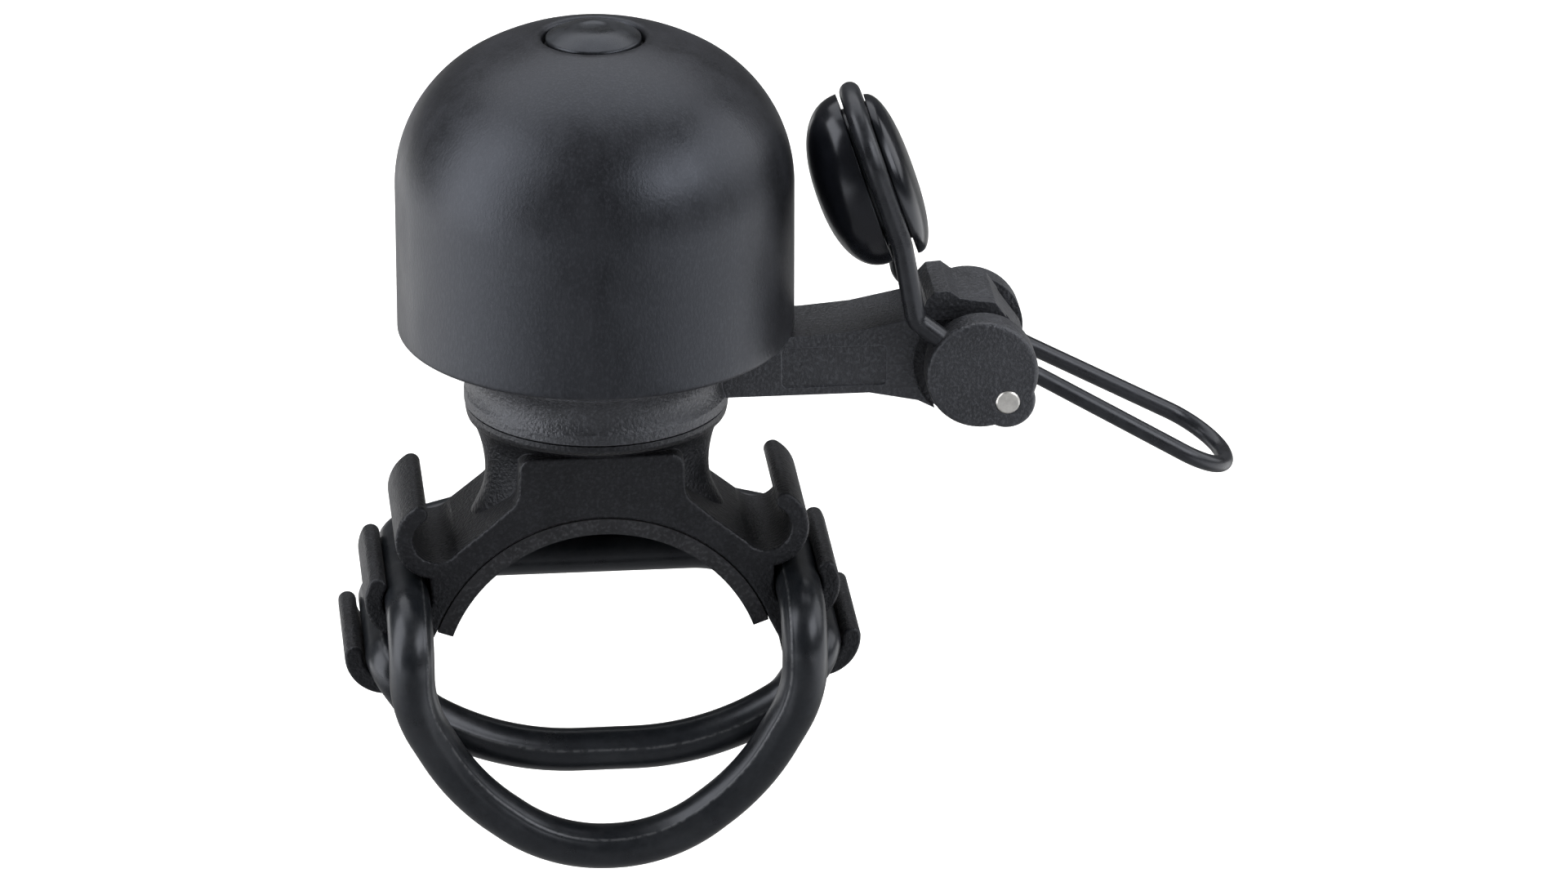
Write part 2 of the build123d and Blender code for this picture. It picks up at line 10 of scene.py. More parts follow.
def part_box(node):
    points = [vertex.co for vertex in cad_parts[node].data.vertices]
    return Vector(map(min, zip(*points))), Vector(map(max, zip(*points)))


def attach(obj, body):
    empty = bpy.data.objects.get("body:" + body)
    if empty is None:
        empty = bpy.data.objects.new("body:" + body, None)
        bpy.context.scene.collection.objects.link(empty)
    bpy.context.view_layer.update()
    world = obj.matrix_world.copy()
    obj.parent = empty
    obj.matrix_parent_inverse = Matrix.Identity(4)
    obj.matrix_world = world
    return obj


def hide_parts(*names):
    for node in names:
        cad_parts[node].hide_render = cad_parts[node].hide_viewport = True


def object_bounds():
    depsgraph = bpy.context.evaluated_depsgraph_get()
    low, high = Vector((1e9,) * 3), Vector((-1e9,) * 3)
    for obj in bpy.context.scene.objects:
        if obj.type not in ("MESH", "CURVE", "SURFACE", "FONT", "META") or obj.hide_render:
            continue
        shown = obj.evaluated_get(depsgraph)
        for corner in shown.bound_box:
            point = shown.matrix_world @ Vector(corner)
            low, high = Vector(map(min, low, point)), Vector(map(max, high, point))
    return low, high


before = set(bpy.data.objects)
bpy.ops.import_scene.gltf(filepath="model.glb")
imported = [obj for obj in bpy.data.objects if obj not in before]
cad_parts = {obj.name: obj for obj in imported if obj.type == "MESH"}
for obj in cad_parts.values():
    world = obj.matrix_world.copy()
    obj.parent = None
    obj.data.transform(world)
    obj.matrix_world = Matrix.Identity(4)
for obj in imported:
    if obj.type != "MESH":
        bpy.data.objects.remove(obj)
cad_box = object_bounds()

bl_info = {
    "name": "Bicycle Bell",
    "version": (1, 0, 0),
    "blender": (4, 5, 0),
    "location": "View3D > Sidebar > Bicycle Bell",
    "description": "Builds the gong, striker, saddle and rubber rings of a small bicycle bell",
    "category": "Object",
}

MM = 0.001


# ---------------------------------------------------------------- sizes and colours
def length(name, description, value):
    """A size in metres, given in millimetres."""
    return FloatProperty(name=name, description=description, default=value * MM, min=0.0,
                         subtype="DISTANCE", unit="LENGTH")


def colour(name, description, value):
    """A linear colour."""
    return FloatVectorProperty(name=name, description=description, default=value, size=3,
                               subtype="COLOR", min=0.0, max=1.0)


def share(name, description, value):
    """A number from nought to one."""
    return FloatProperty(name=name, description=description, default=value, min=0.0, max=1.0,
                         subtype="FACTOR")


gong_low, gong_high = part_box("dome")


class GongSettings(bpy.types.PropertyGroup):
    """Sizes and coating of the gong."""
    radius: length("Radius", "Outside radius of the gong", gong_high.x / MM)
    height: length("Height", "Rim to crown, before the screw's recess is sunk", 31.0)
    wall: length("Wall", "Thickness of the gong", 1.4)
    rim: length("Rim", "Rounding of the gong's rim", 0.45)
    shoulder: length("Shoulder", "Radius of the curve between wall and crown", 14.5)
    shoulder_height: length("Shoulder height", "Where the straight wall ends, above the bar's axis", 50.5)
    recess: length("Recess", "Radius of the screw's recess", 5.0)
    recess_depth: length("Recess depth", "How deep the screw's recess is", 1.5)
    lip: length("Lip", "Rounding of the recess", 0.6)
    tint: colour("Tint", "Colour of the black coating", (0.0056, 0.0058, 0.0068))
    gloss: share("Roughness", "Roughness of the coating", 0.40)


class StrikerSettings(bpy.types.PropertyGroup):
    """Sizes and finishes of the hammer and its wires."""
    wire: length("Lever wire", "Radius of the finger loop's wire", 0.86)
    strap: length("Strap wire", "Radius of the hammer's wire", 1.05)
    long_half: length("Hammer length", "Half the hammer's length", 9.0)
    wide_half: length("Hammer width", "Half the hammer's width", 6.6)
    face: length("Face", "Thickness of the hammer towards the gong", 6.2)
    back: length("Back", "Thickness of the hammer away from the gong", 3.7)
    slump: length("Slump", "How far the halves' outsides sit below their flats", 0.3)
    tint: colour("Hammer tint", "Colour of the hammer", (0.0024, 0.0028, 0.004))
    wire_tint: colour("Wire tint", "Colour of the coated wire", (0.0072, 0.0077, 0.0092))


class SaddleSettings(bpy.types.PropertyGroup):
    """Finish of the moulded pieces and the pad."""
    tint: colour("Plastic tint", "Colour of the moulded plastic", (0.0078, 0.0082, 0.0096))
    pad_tint: colour("Pad tint", "Colour of the anti-slip pad", (0.0085, 0.0086, 0.0094))
    edge: length("Edge", "Rounding of the moulded edges", 0.16)


class RingSettings(bpy.types.PropertyGroup):
    """Sizes and finish of the rubber rings."""
    large: length("Large section", "Radius of the large ring's section", 2.25)
    small: length("Small section", "Radius of the small ring's section", 2.15)
    seam: length("Seam", "Height of the raised moulding seam", 0.1)
    sides: IntProperty(name="Sides", description="Faces round a ring's section", default=72,
                       min=24, max=128)
    tint: colour("Rubber tint", "Colour of the rubber", (0.0044, 0.0052, 0.0066))


class StageSettings(bpy.types.PropertyGroup):
    """Floor and lights."""
    drop: length("Floor drop", "Distance from the object to the floor", 60.0)
    floor_tint: colour("Floor tint", "Colour of the floor", (0.93, 0.93, 0.93))
    lamp: FloatProperty(name="Lamp power", description="Power that each lamp takes a multiple of",
                        default=3.2, min=0.0, unit="POWER")


# ---------------------------------------------------------------- node helpers
class Net:
    """Adds nodes to one tree and joins them as they are made."""

    def __init__(self, tree):
        self.tree = tree

    def add(self, kind, wired=None, **choices):
        """A node of a kind and its settings, with its inputs as values or as other nodes' outputs."""
        item = self.tree.nodes.new(kind)
        for key, value in choices.items():
            setattr(item, key, value)
        for key, value in (wired or {}).items():
            if isinstance(value, bpy.types.NodeSocket):
                self.tree.links.new(value, item.inputs[key])
            else:
                item.inputs[key].default_value = value
        return item

    def math(self, operation, first, second=0.0):
        """Output of a Math node."""
        return self.add("ShaderNodeMath", {0: first, 1: second}, operation=operation).outputs[0]

    def spread(self, value, low, high, out_low, out_high, smooth=False):
        """Output of a clamped Map Range node."""
        way = "SMOOTHSTEP" if smooth else "LINEAR"
        return self.add("ShaderNodeMapRange", {"Value": value, "From Min": low, "From Max": high,
                                               "To Min": out_low, "To Max": out_high},
                        interpolation_type=way).outputs["Result"]

    def blend(self, amount, first, second):
        """Output of a colour mix: the first colour at nought, the second at one."""
        item = self.add("ShaderNodeMix", data_type="RGBA")
        factor, colour_a, colour_b = item.inputs[0], item.inputs[6], item.inputs[7]
        for socket, value in ((factor, amount), (colour_a, first), (colour_b, second)):
            if isinstance(value, bpy.types.NodeSocket):
                self.tree.links.new(value, socket)
            else:
                socket.default_value = value
        return item.outputs[2]


def new_group(name, kind, inputs, outputs):
    """Empty node group with named sockets: (name, socket type, default) for each input."""
    group = bpy.data.node_groups.new(name, kind)
    for label, socket_type, value in inputs:
        socket = group.interface.new_socket(name=label, in_out="INPUT", socket_type=socket_type)
        if value is not None:
            socket.default_value = value
    for label, socket_type in outputs:
        group.interface.new_socket(name=label, in_out="OUTPUT", socket_type=socket_type)
    net = Net(group)
    return group, net, net.add("NodeGroupInput"), net.add("NodeGroupOutput")


def join(net, outputs, ends):
    """Wires the group's outputs."""
    for label, socket in ends.items():
        net.tree.links.new(socket, outputs.inputs[label])


speck_band = (0.48, 0.68)                 # grain heights between which a speck comes in
edge_band = (0.999, 0.93)                 # cosines between which an edge counts as worn, with its painted highlight
wear_and_highlight_band, least_wear_and_highlight = (0.3, 0.65), 0.35
dust_slope, least_dust = (-0.4, 0.9), 0.25    # from a face that looks down to one that looks up
dust_band = (0.42, 0.7)


def grain_group():
    """Fine moulded or sprayed grain with slow mottling."""
    group, net, start, end = new_group(
        "surface_grain", "ShaderNodeTree",
        [("Grain Scale", "NodeSocketFloat", 3000.0), ("Mottle Scale", "NodeSocketFloat", 220.0),
         ("Stretch", "NodeSocketVector", (1.0, 1.0, 1.0))],
        [("Height", "NodeSocketFloat"), ("Mottle", "NodeSocketFloat"), ("Speck", "NodeSocketFloat")])
    place = net.add("ShaderNodeTexCoord").outputs["Object"]
    stretched = net.add("ShaderNodeVectorMath", {0: place, 1: start.outputs["Stretch"]},
                        operation="MULTIPLY").outputs[0]
    fine = net.add("ShaderNodeTexNoise", {"Vector": stretched, "Scale": start.outputs["Grain Scale"],
                                          "Detail": 2.0, "Roughness": 0.55})
    slow = net.add("ShaderNodeTexNoise", {"Vector": stretched, "Scale": start.outputs["Mottle Scale"],
                                          "Detail": 4.0, "Roughness": 0.6})
    speck = net.spread(fine.outputs["Fac"], *speck_band, 0.0, 1.0)
    join(net, end, {"Height": fine.outputs["Fac"], "Mottle": slow.outputs["Fac"], "Speck": speck})
    return group


def edge_group():
    """Mask of sharp outside edges, where handling polishes a surface and where a paler painted highlight
    line is laid.
    """
    group, net, start, end = new_group(
        "edge_wear_and_highlight", "ShaderNodeTree",
        [("Width", "NodeSocketFloat", 0.2 * MM), ("Breakup Scale", "NodeSocketFloat", 700.0)],
        [("Mask", "NodeSocketFloat"), ("Soft Normal", "NodeSocketVector")])
    rounded = net.add("ShaderNodeBevel", {"Radius": start.outputs["Width"]}, samples=6).outputs["Normal"]
    facing = net.add("ShaderNodeNewGeometry").outputs["Normal"]
    turn = net.add("ShaderNodeVectorMath", {0: rounded, 1: facing}, operation="DOT_PRODUCT")
    edge = net.spread(turn.outputs["Value"], *edge_band, 0.0, 1.0)
    place = net.add("ShaderNodeTexCoord").outputs["Object"]
    patchy = net.add("ShaderNodeTexNoise", {"Vector": place, "Scale": start.outputs["Breakup Scale"],
                                            "Detail": 3.0}).outputs["Fac"]
    uneven = net.spread(patchy, *wear_and_highlight_band, least_wear_and_highlight, 1.0)
    join(net, end, {"Mask": net.math("MULTIPLY", edge, uneven), "Soft Normal": rounded})
    return group


def dust_group():
    """Pale dust that clings in patches to faces that look up."""
    group, net, start, end = new_group(
        "dust_veil", "ShaderNodeTree",
        [("Patch Scale", "NodeSocketFloat", 160.0), ("Amount", "NodeSocketFloat", 0.5)],
        [("Mask", "NodeSocketFloat")])
    place = net.add("ShaderNodeTexCoord").outputs["Object"]
    patch = net.add("ShaderNodeTexNoise", {"Vector": place, "Scale": start.outputs["Patch Scale"],
                                           "Detail": 5.0, "Roughness": 0.7}).outputs["Fac"]
    up = net.add("ShaderNodeSeparateXYZ",
                 {0: net.add("ShaderNodeNewGeometry").outputs["Normal"]}).outputs["Z"]
    settled = net.spread(up, *dust_slope, least_dust, 1.0)
    patches = net.spread(patch, *dust_band, 0.0, 1.0, smooth=True)
    join(net, end, {"Mask": net.math("MULTIPLY", net.math("MULTIPLY", patches, settled),
                                     start.outputs["Amount"])})
    return group


def shared_groups():
    """The shader groups, built once."""
    makers = {"surface_grain": grain_group, "edge_wear_and_highlight": edge_group, "dust_veil": dust_group}
    for name, make in makers.items():
        if name not in bpy.data.node_groups:
            make()


# ---------------------------------------------------------------- finishes
cool_sheen = (0.88, 0.91, 1.0, 1.0)      # tint of the moulded surfaces' gloss
coat_sheen = (0.79, 0.85, 1.0, 1.0)      # bluer gloss of the gong's and the screw's coating
dust_tint = (0.06, 0.062, 0.066, 1.0)
speck_gain = 4.0          # how much paler a speck is than the surface
polish = 0.1              # roughness lost along worn edges
dulling = 0.1             # roughness gained under dust
haze_roughness = 0.35
mottle_band, metal_mottle_band = (0.32, 0.68), (0.35, 0.65)
gloss_band = (0.3, 0.7)   # mottling heights over which the roughness wanders
seam_break, least_seam = (0.4, 0.55), 0.25    # grain heights between which dust fills the seam


def grouped(net, name, **inputs):
    """A shared group placed in a material with its own values."""
    item = net.add("ShaderNodeGroup", node_tree=bpy.data.node_groups[name])
    for key, value in inputs.items():
        item.inputs[key.replace("_", " ").title()].default_value = value
    return item


def connect(net, shader, tone, gloss, grains, edges, bump):
    """Wires colour and roughness to the shader, with the grain as relief on the softened edges."""
    relief = net.add("ShaderNodeBump", {"Strength": 1.0, "Distance": bump * MM,
                                        "Height": grains.outputs["Height"],
                                        "Normal": edges.outputs["Soft Normal"]})
    for socket, source in (("Base Color", tone), ("Roughness", gloss), ("Normal", relief.outputs[0])):
        net.tree.links.new(source, shader.inputs[socket])


def scaled(tint, gain):
    """A tint made darker or paler, as a full colour."""
    return (*[min(1.0, c * gain) for c in tint], 1.0)


def surface_finish(name, tint, roughness, grain=(3000.0, 220.0), stretch=(1, 1, 1), bump=0.03, spread=0.06,
                   lift=1.6, speck=0.0, edge=0.16, edge_gain=2.0, dust=0.0, seam=0.0, shine=0.35,
                   sheen=cool_sheen, haze=0.0):
    """A coated, moulded or rubber surface with grain, mottling, polished edges that carry a painted
    highlight, and dust.

    grain is the scale of the grain and of the mottling, bump the grain's depth in millimetres, spread how
    far the roughness wanders, lift how much paler the mottling is, edge the width in millimetres of the
    worn edges with their painted highlight, seam how much dust the moulding seam holds, haze the weight of
    the sheen.
    """
    if name in bpy.data.materials:
        return bpy.data.materials[name]
    shared_groups()
    material = bpy.data.materials.new(name)
    material.use_nodes = True
    net = Net(material.node_tree)
    shader = net.tree.nodes["Principled BSDF"]
    grains = grouped(net, "surface_grain", grain_scale=grain[0], mottle_scale=grain[1], stretch=stretch)
    edges = grouped(net, "edge_wear_and_highlight", width=edge * MM)
    veil = grouped(net, "dust_veil", amount=dust)
    mottle = net.spread(grains.outputs["Mottle"], *mottle_band, 0.0, 1.0)
    tone = net.blend(mottle, scaled(tint, 1.0), scaled(tint, lift))
    specks = net.math("MULTIPLY", grains.outputs["Speck"], speck)
    tone = net.blend(specks, tone, scaled(tint, speck_gain))
    # painted highlight: edges are made paler, partly as wear and partly as a highlight line along them
    tone = net.blend(edges.outputs["Mask"], tone, scaled(tint, edge_gain))
    dusty = veil.outputs["Mask"]
    if seam > 0.0:
        ridge = net.add("ShaderNodeAttribute", attribute_name="seam").outputs["Fac"]
        broken = net.spread(grains.outputs["Height"], *seam_break, least_seam, 1.0)
        rough_line = net.math("MULTIPLY", broken, ridge)
        dusty = net.math("MAXIMUM", dusty, net.math("MULTIPLY", rough_line, seam))
    tone = net.blend(dusty, tone, dust_tint)
    gloss = net.spread(grains.outputs["Mottle"], *gloss_band, roughness - spread, roughness + spread)
    gloss = net.math("SUBTRACT", gloss, net.math("MULTIPLY", edges.outputs["Mask"], polish))
    gloss = net.math("ADD", gloss, net.math("MULTIPLY", dusty, dulling))
    connect(net, shader, tone, gloss, grains, edges, bump)
    shader.inputs["Specular IOR Level"].default_value = shine
    shader.inputs["Specular Tint"].default_value = sheen
    shader.inputs["Sheen Weight"].default_value = haze
    shader.inputs["Sheen Roughness"].default_value = haze_roughness
    return material


def metal_finish(name, tint, roughness):
    """Bare metal with fine grinding marks."""
    if name in bpy.data.materials:
        return bpy.data.materials[name]
    shared_groups()
    material = bpy.data.materials.new(name)
    material.use_nodes = True
    net = Net(material.node_tree)
    shader = net.tree.nodes["Principled BSDF"]
    grains = grouped(net, "surface_grain", grain_scale=5000.0, mottle_scale=900.0, stretch=(1, 1, 1))
    edges = grouped(net, "edge_wear_and_highlight", width=0.1 * MM)
    dull, spread, bump = 0.72, 0.08, 0.004
    mottle = net.spread(grains.outputs["Mottle"], *metal_mottle_band, 0.0, 1.0)
    tone = net.blend(mottle, scaled(tint, 1.0), scaled(tint, dull))
    gloss = net.spread(grains.outputs["Mottle"], *gloss_band, roughness - spread, roughness + spread)
    connect(net, shader, tone, gloss, grains, edges, bump)
    shader.inputs["Metallic"].default_value = 1.0
    return material


def satin_coat():
    """Satin black coating of the gong."""
    look = bpy.context.scene.bell_gong
    return surface_finish("satin_coat", look.tint, look.gloss, grain=(4000.0, 260.0), stretch=(1, 1, 0.5),
                          bump=0.022, spread=0.06, lift=2.2, speck=0.45, edge=0.3, edge_gain=4.0, shine=0.44,
                          sheen=coat_sheen)


def cap_coat():
    """Glossier coating of the cap screw."""
    return surface_finish("cap_coat", (0.005, 0.0054, 0.0062), 0.3, grain=(5200.0, 320.0), bump=0.004,
                          spread=0.13, lift=4.0, speck=0.1, edge=0.25, edge_gain=6.0, shine=0.4,
                          sheen=coat_sheen)


def spark_plastic(name, depth, shine, haze):
    """Spark-textured black moulding: depth scales its tint."""
    look = bpy.context.scene.bell_saddle
    return surface_finish(name, [c * depth for c in look.tint], 0.43, grain=(2900.0, 190.0), bump=0.13,
                          spread=0.06, lift=1.6, speck=0.6, edge=look.edge / MM, edge_gain=5.0, shine=shine,
                          haze=haze)


def saddle_plastic():
    """The saddle's moulding, at half the shared plastic tint."""
    return spark_plastic("saddle_plastic", 0.5, 0.34, 0.03)


def arm_plastic():
    """The arm's and the cheeks' moulding, at one and a quarter times the shared plastic tint."""
    return spark_plastic("arm_plastic", 1.25, 0.6, 0.05)


def pad_rubber():
    """Dull anti-slip pad."""
    look = bpy.context.scene.bell_saddle
    return surface_finish("pad_rubber", look.pad_tint, 0.78, grain=(2600.0, 400.0), bump=0.05, spread=0.06,
                          lift=1.9, speck=0.7, edge=0.1, edge_gain=1.8, shine=0.25)


def ring_rubber():
    """Smooth rubber of the rings, with dust and a rough seam."""
    look = bpy.context.scene.bell_rings
    return surface_finish("ring_rubber", look.tint, 0.30, grain=(1900.0, 520.0), bump=0.006, spread=0.035,
                          lift=1.5, speck=0.1, edge=0.1, edge_gain=1.4, dust=0.2, seam=0.8, shine=0.42)


def hammer_gloss():
    """Polished black moulding of the hammer."""
    look = bpy.context.scene.bell_striker
    return surface_finish("hammer_gloss", look.tint, 0.22, grain=(1400.0, 320.0), bump=0.003, spread=0.05,
                          lift=1.8, edge=0.2, edge_gain=2.0, shine=0.45)


def wire_coat():
    """Black coating of the steel wires."""
    look = bpy.context.scene.bell_striker
    return surface_finish("wire_coat", look.wire_tint, 0.31, grain=(3400.0, 600.0), bump=0.006, spread=0.07,
                          lift=1.8, speck=0.15, edge=0.1, edge_gain=1.5, shine=0.42)


def ground_steel():
    """Bare steel of the pin, the clip, the spring and the hidden screws."""
    return metal_finish("ground_steel", (0.8, 0.79, 0.77), 0.4)


def black_nylon():
    """Black washer under the cap screw."""
    return surface_finish("black_nylon", (0.004, 0.004, 0.005), 0.5, grain=(2500.0, 300.0), bump=0.01,
                          lift=1.3, edge_gain=1.2, shine=0.3)


def natural_nylon():
    """Slippery washers."""
    return surface_finish("natural_nylon", (0.55, 0.53, 0.48), 0.45, grain=(2500.0, 300.0), bump=0.01,
                          lift=1.1, edge_gain=1.1)


# ---------------------------------------------------------------- mesh helpers
def keep(name, mesh, material, body, slot, *nodes):
    """Makes a finished mesh a piece of the bell that stands for CAD nodes."""
    piece = bpy.data.objects.new(name, mesh)
    bpy.context.scene.collection.objects.link(piece)
    mesh.materials.clear()
    mesh.materials.append(material)
    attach(piece, body)
    if nodes:
        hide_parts(*nodes)
    return piece


def from_bmesh(name, shape, sharp=40.0):
    """A smooth-shaded mesh whose edges stay sharp past an angle, in degrees."""
    bmesh.ops.recalc_face_normals(shape, faces=shape.faces)
    mesh = bpy.data.meshes.new(name)
    shape.to_mesh(mesh)
    shape.free()
    mesh.shade_smooth()
    mesh.set_sharp_from_angle(angle=radians(sharp))
    return mesh


def arc(centre, radius, first, last, steps):
    """Points (radius, height) along an arc, angles in degrees from the outward direction."""
    angles = [radians(first + (last - first) * i / steps) for i in range(steps + 1)]
    return [(centre[0] + radius * cos(angle), centre[1] + radius * sin(angle)) for angle in angles]


def turned(name, outline, steps):
    """Turns a closed outline of (radius, height) points about Z. Points on the axis become poles."""
    shape = bmesh.new()
    angles = [2 * pi * i / steps for i in range(steps)]
    rings = []
    for radius, height in outline:
        if radius == 0.0:
            rings.append([shape.verts.new((0.0, 0.0, height))])
        else:
            rings.append([shape.verts.new((radius * cos(angle), radius * sin(angle), height))
                          for angle in angles])
    for ring, other in zip(rings, rings[1:] + rings[:1]):
        if len(ring) == 1 and len(other) == 1:
            continue
        for i in range(steps):
            j = (i + 1) % steps
            corner = [ring[0]] if len(ring) == 1 else [ring[i], ring[j]]
            corner += [other[0]] if len(other) == 1 else [other[j], other[i]]
            shape.faces.new(corner)
    return from_bmesh(name, shape)


def dress(node, material):
    """Gives a CAD node that stays its own finish."""
    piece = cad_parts[node]
    piece.data.materials.clear()
    piece.data.materials.append(material)
    for face in piece.data.polygons:
        face.material_index = 0
    return piece


# ---------------------------------------------------------------- geometry node trees
seam_foot, seam_crest = 0.1, 0.02         # half widths of the seam, as shares of the section's radius
seam_noise_scale = 2600.0
seam_noise_middle, seam_noise_gain = 0.62, 0.6


def tube_tree():
    """A tube along a path whose points' radii are the bends at its corners, with a seam along it."""
    if "tube_along_path" in bpy.data.node_groups:
        return bpy.data.node_groups["tube_along_path"]
    group, net, start, end = new_group(
        "tube_along_path", "GeometryNodeTree",
        [("Path", "NodeSocketGeometry", None), ("Section Radius", "NodeSocketFloat", 1 * MM),
         ("Sides", "NodeSocketInt", 32), ("Spacing", "NodeSocketFloat", 0.4 * MM),
         ("Seam Height", "NodeSocketFloat", 0.0), ("Seam Turn", "NodeSocketFloat", 0.0),
         ("Material", "NodeSocketMaterial", None)],
        [("Mesh", "NodeSocketGeometry")])
    bend = net.add("GeometryNodeInputRadius").outputs[0]
    rounded = net.add("GeometryNodeFilletCurve", {"Curve": start.outputs["Path"], "Radius": bend,
                                                  "Count": 40, "Limit Radius": True}, mode="POLY")
    even = net.add("GeometryNodeResampleCurve", {"Curve": rounded.outputs[0],
                                                 "Length": start.outputs["Spacing"]}, mode="LENGTH")
    plain = net.add("GeometryNodeSetCurveRadius", {"Curve": even.outputs[0], "Radius": 1.0})
    section = net.add("GeometryNodeCurvePrimitiveCircle", {"Resolution": start.outputs["Sides"],
                                                           "Radius": start.outputs["Section Radius"]},
                      mode="RADIUS")
    place = net.add("GeometryNodeInputPosition").outputs[0]
    turned_place = net.add("ShaderNodeVectorRotate", {"Vector": place, "Angle": start.outputs["Seam Turn"]},
                           rotation_type="Z_AXIS")
    across = net.add("ShaderNodeSeparateXYZ", {0: turned_place.outputs[0]}).outputs["Y"]
    off_line = net.math("DIVIDE", net.math("ABSOLUTE", across), start.outputs["Section Radius"])
    ridge = net.spread(off_line, seam_foot, seam_crest, 0.0, 1.0, smooth=True)
    marked = net.add("GeometryNodeStoreNamedAttribute", {"Geometry": section.outputs[0], "Name": "seam",
                                                         "Value": ridge}, data_type="FLOAT", domain="POINT")
    outward = net.add("ShaderNodeVectorMath", {0: place}, operation="NORMALIZE").outputs[0]
    rise = net.math("MULTIPLY", ridge, start.outputs["Seam Height"])
    lift = net.add("ShaderNodeVectorMath", {0: outward, "Scale": rise}, operation="SCALE").outputs[0]
    raised = net.add("GeometryNodeSetPosition", {"Geometry": marked.outputs[0], "Offset": lift})
    swept = net.add("GeometryNodeCurveToMesh", {"Curve": plain.outputs[0],
                                                "Profile Curve": raised.outputs[0], "Fill Caps": True})
    seam = net.add("GeometryNodeInputNamedAttribute", {"Name": "seam"}, data_type="FLOAT").outputs[0]
    rough = net.add("ShaderNodeTexNoise", {"Scale": seam_noise_scale, "Detail": 2.0}).outputs["Fac"]
    ragged = net.math("MULTIPLY", net.math("SUBTRACT", rough, seam_noise_middle), seam)
    uneven = net.math("MULTIPLY", ragged,
                      net.math("MULTIPLY", start.outputs["Seam Height"], seam_noise_gain))
    normal = net.add("GeometryNodeInputNormal").outputs[0]
    push = net.add("ShaderNodeVectorMath", {0: normal, "Scale": uneven}, operation="SCALE").outputs[0]
    worked = net.add("GeometryNodeSetPosition", {"Geometry": swept.outputs[0], "Offset": push})
    smooth = net.add("GeometryNodeSetShadeSmooth", {"Geometry": worked.outputs[0], "Shade Smooth": True})
    whole = net.add("GeometryNodeRealizeInstances", {"Geometry": smooth.outputs[0]})
    painted = net.add("GeometryNodeSetMaterial", {"Geometry": whole.outputs[0],
                                                  "Material": start.outputs["Material"]})
    net.tree.links.new(painted.outputs[0], end.inputs["Mesh"])
    return group


def spring_tree():
    """A coil of round wire about the Y axis."""
    if "coil_spring" in bpy.data.node_groups:
        return bpy.data.node_groups["coil_spring"]
    group, net, start, end = new_group(
        "coil_spring", "GeometryNodeTree",
        [("Geometry", "NodeSocketGeometry", None), ("Coil Radius", "NodeSocketFloat", 1.75 * MM),
         ("Wire Radius", "NodeSocketFloat", 0.25 * MM), ("Length", "NodeSocketFloat", 2.2 * MM),
         ("Turns", "NodeSocketFloat", 3.5), ("Middle", "NodeSocketVector", (0.0, 0.0, 0.0)),
         ("Material", "NodeSocketMaterial", None)],
        [("Mesh", "NodeSocketGeometry")])
    coil = net.add("GeometryNodeCurveSpiral", {"Resolution": 40, "Rotations": start.outputs["Turns"],
                                               "Start Radius": start.outputs["Coil Radius"],
                                               "End Radius": start.outputs["Coil Radius"],
                                               "Height": start.outputs["Length"]})
    laid = net.add("GeometryNodeTransform", {"Geometry": coil.outputs[0], "Rotation": (-pi / 2, 0.0, 0.0),
                                             "Translation": start.outputs["Middle"]})
    section = net.add("GeometryNodeCurvePrimitiveCircle", {"Resolution": 12,
                                                           "Radius": start.outputs["Wire Radius"]},
                      mode="RADIUS")
    swept = net.add("GeometryNodeCurveToMesh", {"Curve": laid.outputs[0],
                                                "Profile Curve": section.outputs[0], "Fill Caps": True})
    smooth = net.add("GeometryNodeSetShadeSmooth", {"Geometry": swept.outputs[0], "Shade Smooth": True})
    whole = net.add("GeometryNodeRealizeInstances", {"Geometry": smooth.outputs[0]})
    painted = net.add("GeometryNodeSetMaterial", {"Geometry": whole.outputs[0],
                                                  "Material": start.outputs["Material"]})
    net.tree.links.new(painted.outputs[0], end.inputs["Mesh"])
    return group


def run_tree(name, data, tree, inputs):
    """Runs a tree on new object data, and returns the result as a plain mesh."""
    carrier = bpy.data.objects.new(name + "_path", data)
    bpy.context.scene.collection.objects.link(carrier)
    modifier = carrier.modifiers.new("build", "NODES")
    modifier.node_group = tree
    for item in tree.interface.items_tree:
        if item.item_type == "SOCKET" and item.in_out == "INPUT" and item.name in inputs:
            modifier[item.identifier] = inputs[item.name]
    bpy.context.view_layer.update()
    ready = carrier.evaluated_get(bpy.context.evaluated_depsgraph_get())
    mesh = bpy.data.meshes.new_from_object(ready)
    mesh.name = name
    carrier.modifiers.remove(modifier)
    bpy.data.objects.remove(carrier)
    if not len(mesh.polygons):
        raise RuntimeError(f"{name} came out empty")
    return mesh


def path(name, points, bends, closed=False):
    """Curve data of straight runs, with the bend at each corner kept as the point's radius. Millimetres."""
    data = bpy.data.curves.new(name, "CURVE")
    data.dimensions = "3D"
    line = data.splines.new("POLY")
    line.points.add(len(points) - 1)
    for point, place, bend in zip(line.points, points, bends):
        point.co = (place[0] * MM, place[1] * MM, place[2] * MM, 1.0)
        point.radius = bend * MM
    line.use_cyclic_u = closed
    return data


def tube(name, points, bends, radius, sides, spacing, material, closed=False, seam=0.0, seam_turn=0.0):
    """A tube along a path, as a plain mesh."""
    return run_tree(name, path(name, points, bends, closed), tube_tree(),
                    {"Section Radius": radius, "Sides": sides, "Spacing": spacing * MM, "Seam Height": seam,
                     "Seam Turn": radians(seam_turn), "Material": material})


# ---------------------------------------------------------------- gong and its screw
gong_hole = 2.15 * MM     # the cap screw's hole
floor_ease = 0.15 * MM    # chamfer where the recess's wall meets its floor


